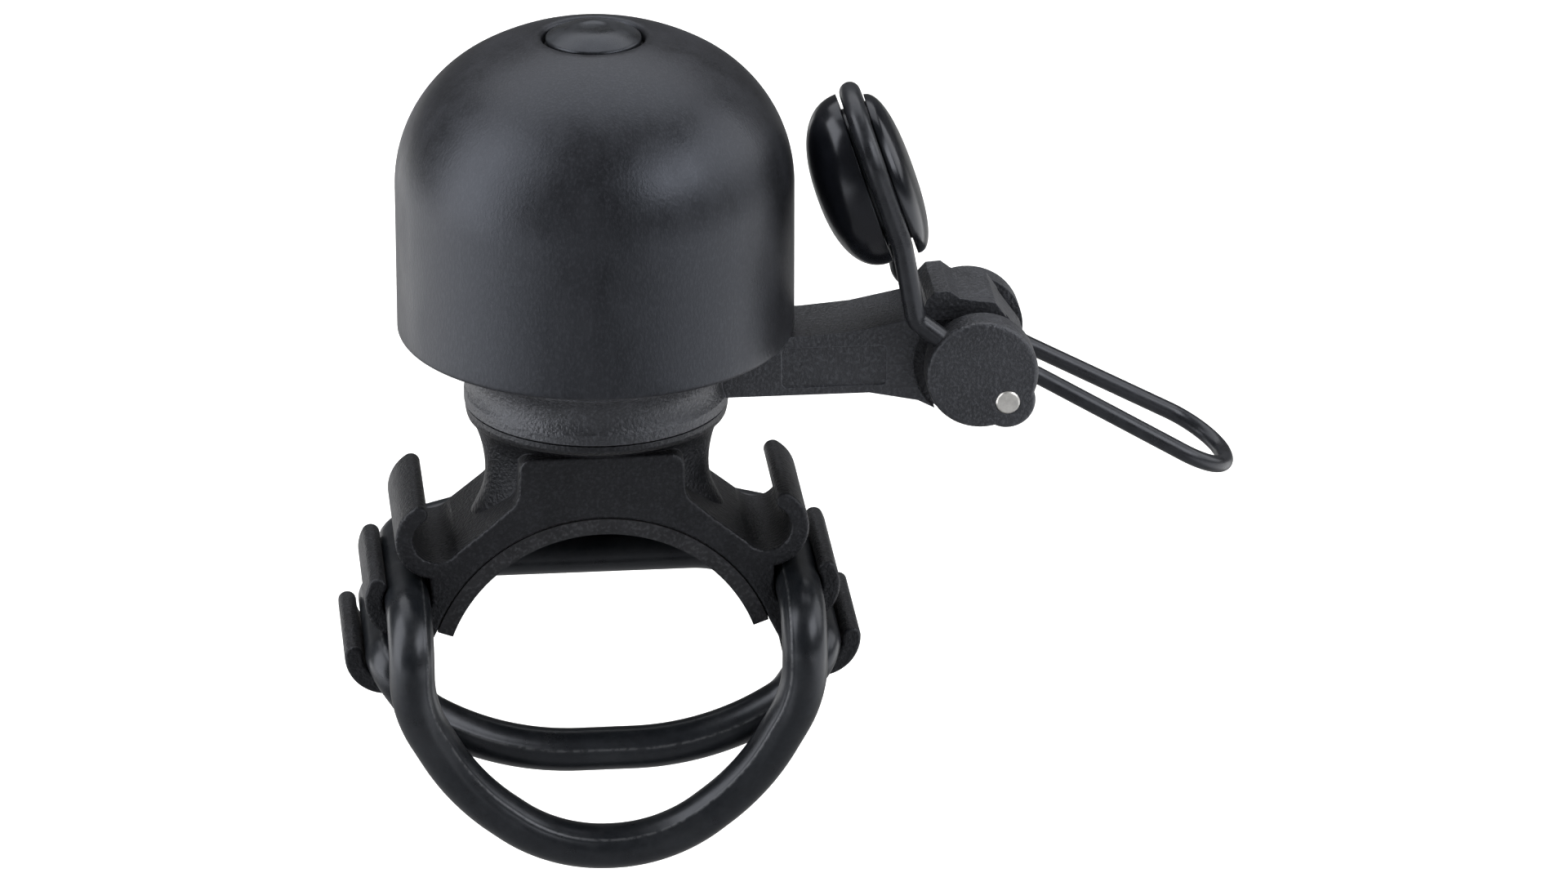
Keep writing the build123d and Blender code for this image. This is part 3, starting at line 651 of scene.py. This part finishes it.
def gong_outline(look):
    """Closed outline of the gong's wall: up the outside, into the recess and down the inside."""
    wall, rim = look.wall, look.rim
    low, high = gong_low.z, gong_low.z + look.height
    shoulder = Vector((look.radius - look.shoulder, look.shoulder_height))
    rise = high - shoulder.y
    crown = (shoulder.x**2 + rise**2 - look.shoulder**2) / (2 * (rise - look.shoulder))
    crown_middle = high - crown
    turn = atan2(shoulder.y - crown_middle, shoulder.x) / radians(1)

    def crown_angle(radius, inset=0.0):
        return 90.0 - (pi / 2 - atan2(sqrt((crown - inset) ** 2 - radius**2), radius)) / radians(1)

    edge = look.recess + look.lip * 0.9
    edge_height = crown_middle + sqrt(crown**2 - edge**2)
    floor = crown_middle + sqrt(crown**2 - look.recess**2) - look.recess_depth
    floor_edge = look.recess - floor_ease
    fold = look.recess + wall
    inner = look.radius - wall
    points = arc((inner + rim, low + rim), rim, 180, 270, 6)
    points += arc((look.radius - rim, low + rim), rim, -90, 0, 6)
    points += [(look.radius, low + (shoulder.y - low) * i / 8) for i in range(1, 8)]
    points += arc(shoulder, look.shoulder, 0, turn, 28)
    points += arc((0, crown_middle), crown, turn, crown_angle(edge), 12)[1:]
    points += arc((look.recess + look.lip, edge_height - look.lip), look.lip, 100, 180, 8)[1:]
    points += [(look.recess, floor + floor_ease), (floor_edge, floor)]
    points += [(gong_hole, floor), (gong_hole, floor - wall), (fold, floor - wall)]
    points += arc((0, crown_middle), crown - wall, crown_angle(fold, wall), turn, 10)
    points += arc(shoulder, look.shoulder - wall, turn, 0, 24)[1:]
    points += [(inner, low + (shoulder.y - low) * i / 8) for i in range(7, 0, -1)]
    return points


class BELL_OT_gong(bpy.types.Operator):
    """Build the gong as one turned shell with a rolled lip round its screw"""
    bl_idname = "bell.gong"
    bl_label = "Gong"

    def execute(self, context):
        mesh = turned("gong_shell", gong_outline(context.scene.bell_gong), steps=200)
        keep("gong_shell", mesh, satin_coat(), "bell", "gong", "dome")
        return {"FINISHED"}


def cap_outline():
    """Closed outline of the cap screw: shank, undercut head, domed top and dimple."""
    low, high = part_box("dome_screw")
    washer_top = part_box("cap_washer")[1].z
    head, shank, chamfer = high.x, 2.0 * MM, 0.2 * MM
    undercut_wide, undercut_high = 1.1 * MM, 0.42 * MM
    ease = 0.1 * MM
    lip, round_edge = washer_top + 0.9 * MM, 0.28 * MM
    dimple, dome_steps = 1.5 * MM, 14
    points = [(0.0, low.z), (shank - chamfer, low.z), (shank, low.z + chamfer), (shank, washer_top),
              (head - undercut_wide, washer_top), (head - ease, washer_top + undercut_high),
              (head, washer_top + undercut_high + 0.8 * ease)]
    points += arc((head - round_edge, lip - round_edge * 0.4), round_edge, 0, 62, 6)
    edge_radius, edge_height = points[-1]
    for i in range(1, dome_steps + 1):
        inward = i / dome_steps
        rise = (high.z - edge_height) * sin(inward * pi / 2)
        points.append((edge_radius + (dimple - edge_radius) * inward, edge_height + rise))
    dimple_wall = ((0.12, 0.02), (0.35, 0.12), (0.6, 0.16))
    points += [(dimple - inset * MM, high.z - depth * MM) for inset, depth in dimple_wall]
    points.append((0.0, high.z - 0.17 * MM))
    return points


class BELL_OT_cap_screw(bpy.types.Operator):
    """Build the domed cap screw with its shallow dimple, and finish the pieces under it"""
    bl_idname = "bell.cap_screw"
    bl_label = "Cap screw and post"

    def execute(self, context):
        mesh = turned("cap_screw", cap_outline(), steps=96)
        keep("cap_screw", mesh, cap_coat(), "bell", "cap", "dome_screw")
        dress("cap_washer", black_nylon())
        for node in ("top_washer", "turn_washer"):
            dress(node, natural_nylon())
        for node in ("dome_post", "base_screw", "base_washer"):
            dress(node, ground_steel())
        return {"FINISHED"}


# ---------------------------------------------------------------- saddle, arm and pivot
class BELL_OT_saddle(bpy.types.Operator):
    """Finish the hooked saddle and the pad that sits on the handlebar"""
    bl_idname = "bell.saddle"
    bl_label = "Saddle and pad"

    def execute(self, context):
        dress("saddle", saddle_plastic())
        dress("saddle_pad", pad_rubber())
        return {"FINISHED"}


class BELL_OT_arm(bpy.types.Operator):
    """Finish the striker's arm and its turning collar"""
    bl_idname = "bell.arm"
    bl_label = "Striker arm"

    def execute(self, context):
        dress("striker_arm", arm_plastic())
        return {"FINISHED"}


class BELL_OT_pivot(bpy.types.Operator):
    """Finish the striker's cheeks, pin and clip, and wind its return spring"""
    bl_idname = "bell.pivot"
    bl_label = "Pivot and spring"

    def execute(self, context):
        for node in ("cheek_front", "cheek_rear"):
            dress(node, arm_plastic())
        for node in ("pivot_pin", "pin_clip", "pivot_spacers"):
            dress(node, ground_steel())
        low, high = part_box("return_spring")
        wire, turns = 0.25 * MM, 3.5
        middle = (low + high) / 2
        mesh = run_tree("pivot_coil", bpy.data.meshes.new("pivot_coil_seed"), spring_tree(),
                        {"Coil Radius": (high.x - low.x) / 2 - wire, "Wire Radius": wire, "Turns": turns,
                         "Length": high.y - low.y - 2 * wire, "Material": ground_steel(),
                         "Middle": (middle.x, low.y + wire, middle.z)})
        keep("pivot_coil", mesh, ground_steel(), "bell", "steel", "return_spring")
        return {"FINISHED"}


# ---------------------------------------------------------------- wires
# Paths in millimetres, from the end in the front cheek to the middle of the bell.
lever_side, lever_tip_side, lever_end_side = 4.0, 5.9, 6.55
lever_half = [(37.4, -lever_end_side, 33.397), (37.4, -lever_side, 33.397), (43.7, -lever_side, 29.803),
              (62.85, -lever_tip_side, 18.88)]
lever_bends = [0.0, 1.01, 8.0, 5.2]
strap_lean = radians(18.4)
strap_rise = Vector((-sin(strap_lean), 0.0, cos(strap_lean)))
strap_crest = Vector((25.15, 0.0, 58.5))
strap_side = 6.4
knee_drop = 14.0
knee = strap_crest - knee_drop * strap_rise
strap_half = [(34.9, -strap_side, 34.1), (31.0, -strap_side, 37.3), (knee.x, -strap_side, knee.z),
              (strap_crest.x, -strap_side, strap_crest.z)]
strap_bends = [0.0, 1.6, 6.0, strap_side - 0.01]


def mirrored(points, bends, flip_x=1, flip_y=1):
    """A path and its bends, carried on as their mirror image."""
    return points + [(flip_x * x, flip_y * y, z) for x, y, z in reversed(points)], bends + bends[::-1]


class BELL_OT_wires(bpy.types.Operator):
    """Bend the finger loop and the hammer's strap from coated wire"""
    bl_idname = "bell.wires"
    bl_label = "Wires"

    def execute(self, context):
        look = context.scene.bell_striker
        loop = tube("finger_loop", *mirrored(lever_half, lever_bends, flip_y=-1), radius=look.wire,
                    sides=32, spacing=0.3, material=wire_coat())
        keep("finger_loop", loop, wire_coat(), "striker", "wire", "lever_loop")
        strap = tube("hammer_wire", *mirrored(strap_half, strap_bends, flip_y=-1), radius=look.strap,
                     sides=36, spacing=0.25, material=wire_coat())
        keep("hammer_wire", strap, wire_coat(), "striker", "wire", "hammer_strap")
        return {"FINISHED"}


# ---------------------------------------------------------------- hammer
hammer_shift = Vector((-0.35, 0.0, 0.35)) * MM    # of the halves, from the strap's middle
strap_gap = 0.12 * MM     # between the front half and the strap; the back half stands three times as far
back_drop = 0.5 * MM


def cushion_half(name, look, middle, out, start, thickness, drop=0.0):
    """One closed cushion-shaped half: a flat oval base that swells outwards with a rounded edge."""
    shape = bmesh.new()
    across = Vector((0.0, 1.0, 0.0))
    long_half = look.long_half - drop
    steps, layers, fullness, sharp = 120, 30, 2.35, 50.0
    rings = []
    for layer in range(layers):
        turn = layer / layers * pi / 2
        height = sin(turn) ** (2 / fullness)
        size = cos(turn) ** (2 / fullness)
        rings.append([shape.verts.new(middle + out * (start + height * (thickness - start))
                                      + across * (look.wide_half * size * cos(2 * pi * i / steps))
                                      + strap_rise * (long_half * size * sin(2 * pi * i / steps)
                                                      - drop - look.slump * height))
                      for i in range(steps)])
    for ring, other in zip(rings, rings[1:]):
        for i in range(steps):
            j = (i + 1) % steps
            shape.faces.new((ring[i], ring[j], other[j], other[i]))
    shape.faces.new(rings[0])
    tip = shape.verts.new(middle + out * thickness - strap_rise * (drop + look.slump))
    for i in range(steps):
        shape.faces.new((rings[-1][i], rings[-1][(i + 1) % steps], tip))
    return from_bmesh(name, shape, sharp)


class BELL_OT_hammer(bpy.types.Operator):
    """Build the hammer's two glossy halves and the plate between them"""
    bl_idname = "bell.hammer"
    bl_label = "Hammer"

    def execute(self, context):
        look = context.scene.bell_striker
        middle = strap_crest * MM - look.long_half * strap_rise + hammer_shift
        out = Vector((-strap_rise.z, 0.0, strap_rise.x))
        face = cushion_half("hammer_front_half", look, middle, out, look.strap + strap_gap, look.face)
        keep("hammer_front_half", face, hammer_gloss(), "striker", "hammer", "hammer_face")
        back = cushion_half("hammer_back_half", look, middle, -out, look.strap + 3 * strap_gap, look.back,
                            back_drop)
        keep("hammer_back_half", back, hammer_gloss(), "striker", "hammer", "hammer_back")
        dress("hammer_core", hammer_gloss())
        return {"FINISHED"}


# ---------------------------------------------------------------- rubber rings
# Paths in millimetres, from the middle of the front loop, through a hook, to the middle of the rear run.
large_front, small_front, ring_rear = -13.85, -9.25, 9.45
upper_x, upper_z = 19.4, 9.5              # middle of the hook that holds the large ring
lower_x, lower_z = 21.5, 3.65             # middle of the hook that holds the small ring
large_half = [(5.53, large_front, -14.9), (14.31, large_front, -8.04), (upper_x, large_front, 1.0),
              (upper_x, large_front, upper_z), (upper_x, ring_rear, upper_z), (12.0, ring_rear, 11.4)]
large_bends = [15.5, 23.0, 13.0, 4.6, 2.4, 12.0]
small_half = [(10.5, small_front, -6.35), (18.2, small_front, -1.5), (lower_x, small_front, lower_z),
              (lower_x, ring_rear, lower_z), (12.0, ring_rear, 6.85)]
small_bends = [27.0, 5.0, 2.35, 2.35, 12.0]


class BELL_OT_rings(bpy.types.Operator):
    """Sweep the two rubber rings, each with its raised moulding seam"""
    bl_idname = "bell.rings"
    bl_label = "Rubber rings"

    def execute(self, context):
        look = context.scene.bell_rings
        for name, half, bends, radius, turn in (("ring_large", large_half, large_bends, look.large, 40.0),
                                                ("ring_small", small_half, small_bends, look.small, 20.0)):
            mesh = tube("rubber_" + name, *mirrored(half, bends, flip_x=-1), radius=radius, sides=look.sides,
                        spacing=0.42, material=ring_rubber(), closed=True, seam=look.seam, seam_turn=turn)
            keep("rubber_" + name, mesh, ring_rubber(), name, "ring", name)
        return {"FINISHED"}


# ---------------------------------------------------------------- stage
white = (1.0, 1.0, 1.0, 1.0)
bell_middle, floor_middle = (0.01, 0.0, 0.035), (0.0, 0.15, 0.0)
lamps = (                 # name, place, aim, width, height, multiple of the lamp power
    ("lamp_left", (-0.60, -0.12, 0.27), bell_middle, 0.55, 0.92, 1.95),
    ("lamp_right", (0.46, -0.40, 0.40), bell_middle, 0.50, 0.34, 0.8),
    ("lamp_side", (0.80, 0.10, 0.42), bell_middle, 0.60, 0.60, 0.9),
    ("lamp_top", (0.0, 0.40, 0.90), floor_middle, 1.3, 0.9, 2.2),
    ("lamp_wash", (0.0, 0.42, 0.95), floor_middle, 1.3, 0.9, 3.2),
)
floor_half = 4.0          # half the floor's width
shade = 0.22              # share of the paper's tint that glossy rays see between the white sides of the painted reflection card
left_painted_card = (-0.23, -0.11)                # from white to shade, along X
right_painted_card = (0.11, 0.17)                 # from shade to white, along X
right_end = (-0.09, -0.02)                # from white to shade again, along Y less X
glow = (0.3, 1.6)         # distances over which the far floor takes on a painted glow, white to the camera
world_light = 0.12
camera_place, camera_aim = Vector((-0.053815, -0.724852, 0.334205)), Vector((0.01865, 0.0, 0.022183))
camera_roll, camera_lens = radians(0.1067), 183.105


def soft_box(name, place, aim, wide, high, power):
    """A rectangular soft lamp turned towards a point."""
    data = bpy.data.lights.new(name, "AREA")
    data.shape, data.size, data.size_y = "RECTANGLE", wide, high
    data.energy = power
    lamp = bpy.data.objects.new(name, data)
    lamp.location = place
    lamp.rotation_mode = "QUATERNION"
    lamp.rotation_quaternion = (Vector(aim) - Vector(place)).to_track_quat("-Z", "Y")
    bpy.context.scene.collection.objects.link(lamp)
    return lamp


def floor_paper():
    """Pale paper with a barely visible tooth. To glossy rays its colour is a painted reflection card, white
    at both sides and dark between them; far off it has a painted glow towards the camera.
    """
    material = bpy.data.materials.new("pale_paper")
    material.use_nodes = True
    net = Net(material.node_tree)
    shader = net.tree.nodes["Principled BSDF"]
    place = net.add("ShaderNodeTexCoord").outputs["Object"]
    tooth = net.add("ShaderNodeTexNoise", {"Vector": place, "Scale": 60.0, "Detail": 3.0}).outputs["Fac"]
    tint = bpy.context.scene.bell_stage.floor_tint
    tone = net.blend(tooth, scaled(tint, 1.0), scaled(tint, 0.985))
    split = net.add("ShaderNodeSeparateXYZ", {0: place})
    x, y = split.outputs["X"], split.outputs["Y"]
    # painted reflection: what glossy rays see of the floor is a painted card, white at both sides and dark
    # between them
    card = net.blend(net.spread(x, *left_painted_card, 0.0, 1.0, smooth=True), white, scaled(tint, shade))
    right = net.math("MULTIPLY", net.spread(x, *right_painted_card, 0.0, 1.0, smooth=True),
                     net.spread(net.math("SUBTRACT", y, x), *right_end, 1.0, 0.0, smooth=True))
    card = net.blend(right, card, white)
    ray = net.add("ShaderNodeLightPath")
    tone = net.blend(ray.outputs["Is Glossy Ray"], tone, card)
    net.tree.links.new(tone, shader.inputs["Base Color"])
    # painted glow: the far floor emits white to camera rays only
    reach = net.add("ShaderNodeVectorMath", {0: place}, operation="LENGTH").outputs["Value"]
    horizon = net.math("MULTIPLY", net.spread(reach, *glow, 0.0, 1.0), ray.outputs["Is Camera Ray"])
    net.tree.links.new(horizon, shader.inputs["Emission Strength"])
    shader.inputs["Emission Color"].default_value = white
    shader.inputs["Roughness"].default_value = 0.95
    shader.inputs["Specular IOR Level"].default_value = 0.1
    return material


def studio_world():
    """White backdrop that lights the object only a little."""
    world = bpy.data.worlds.new("studio")
    world.use_nodes = True
    net = Net(world.node_tree)
    sky = net.tree.nodes["Background"]
    seen = net.add("ShaderNodeLightPath").outputs["Is Camera Ray"]
    sky.inputs["Color"].default_value = white
    net.tree.links.new(net.spread(seen, 0.0, 1.0, world_light, 1.0), sky.inputs["Strength"])
    return world


class BELL_OT_stage(bpy.types.Operator):
    """Lay the floor, hang the soft lamps and place the camera"""
    bl_idname = "bell.stage"
    bl_label = "Floor, lamps and camera"

    def execute(self, context):
        scene = context.scene
        look = scene.bell_stage
        shape = bmesh.new()
        bmesh.ops.create_grid(shape, x_segments=8, y_segments=8, size=floor_half)
        mesh = bpy.data.meshes.new("floor")
        shape.to_mesh(mesh)
        shape.free()
        mesh.transform(Matrix.Translation((0, 0, cad_box[0].z - look.drop)))
        mesh.materials.append(floor_paper())
        floor = bpy.data.objects.new("floor", mesh)
        scene.collection.objects.link(floor)
        for name, place, aim, wide, high, multiple in lamps:
            lamp = soft_box(name, place, aim, wide, high, look.lamp * multiple)
            lamp.visible_glossy = name != "lamp_wash"
        scene.world = studio_world()
        scene.view_settings.view_transform = "Standard"
        data = bpy.data.cameras.new("camera")
        data.lens, data.sensor_width = camera_lens, 36.0
        data.clip_start, data.clip_end = 0.05, 20.0
        camera = bpy.data.objects.new("camera", data)
        camera.location = camera_place
        camera.rotation_mode = "QUATERNION"
        camera.rotation_quaternion = ((camera_aim - camera_place).to_track_quat("-Z", "Y")
                                      @ Quaternion((0.0, 0.0, 1.0), camera_roll))
        scene.collection.objects.link(camera)
        scene.camera = camera
        return {"FINISHED"}


# ---------------------------------------------------------------- panel and registration
class BELL_PT_panel(bpy.types.Panel):
    """Lists the bell's builders and their settings."""
    bl_idname = "BELL_PT_panel"
    bl_label = "Bicycle Bell"
    bl_space_type = "VIEW_3D"
    bl_region_type = "UI"
    bl_category = "Bicycle Bell"

    def draw(self, context):
        for kind in operators:
            self.layout.operator(kind.bl_idname)
        for name, kind in settings.items():
            box = self.layout.box()
            for key in kind.__annotations__:
                box.prop(getattr(context.scene, name), key)


settings = {"bell_gong": GongSettings, "bell_striker": StrikerSettings, "bell_saddle": SaddleSettings,
            "bell_rings": RingSettings, "bell_stage": StageSettings}
operators = (BELL_OT_stage, BELL_OT_gong, BELL_OT_cap_screw, BELL_OT_saddle, BELL_OT_arm, BELL_OT_pivot,
             BELL_OT_wires, BELL_OT_hammer, BELL_OT_rings)


def register():
    """Registers the settings, the operators and the panel."""
    for name, kind in settings.items():
        bpy.utils.register_class(kind)
        setattr(bpy.types.Scene, name, PointerProperty(type=kind))
    for kind in (*operators, BELL_PT_panel):
        bpy.utils.register_class(kind)


def unregister():
    """Takes them away again."""
    for kind in (BELL_PT_panel, *reversed(operators)):
        bpy.utils.unregister_class(kind)
    for name, kind in settings.items():
        delattr(bpy.types.Scene, name)
        bpy.utils.unregister_class(kind)


def main():
    """Builds everything in order."""
    register()
    for kind in operators:
        group, call = kind.bl_idname.split(".")
        getattr(getattr(bpy.ops, group), call)()


if __name__ == "__main__":
    main()
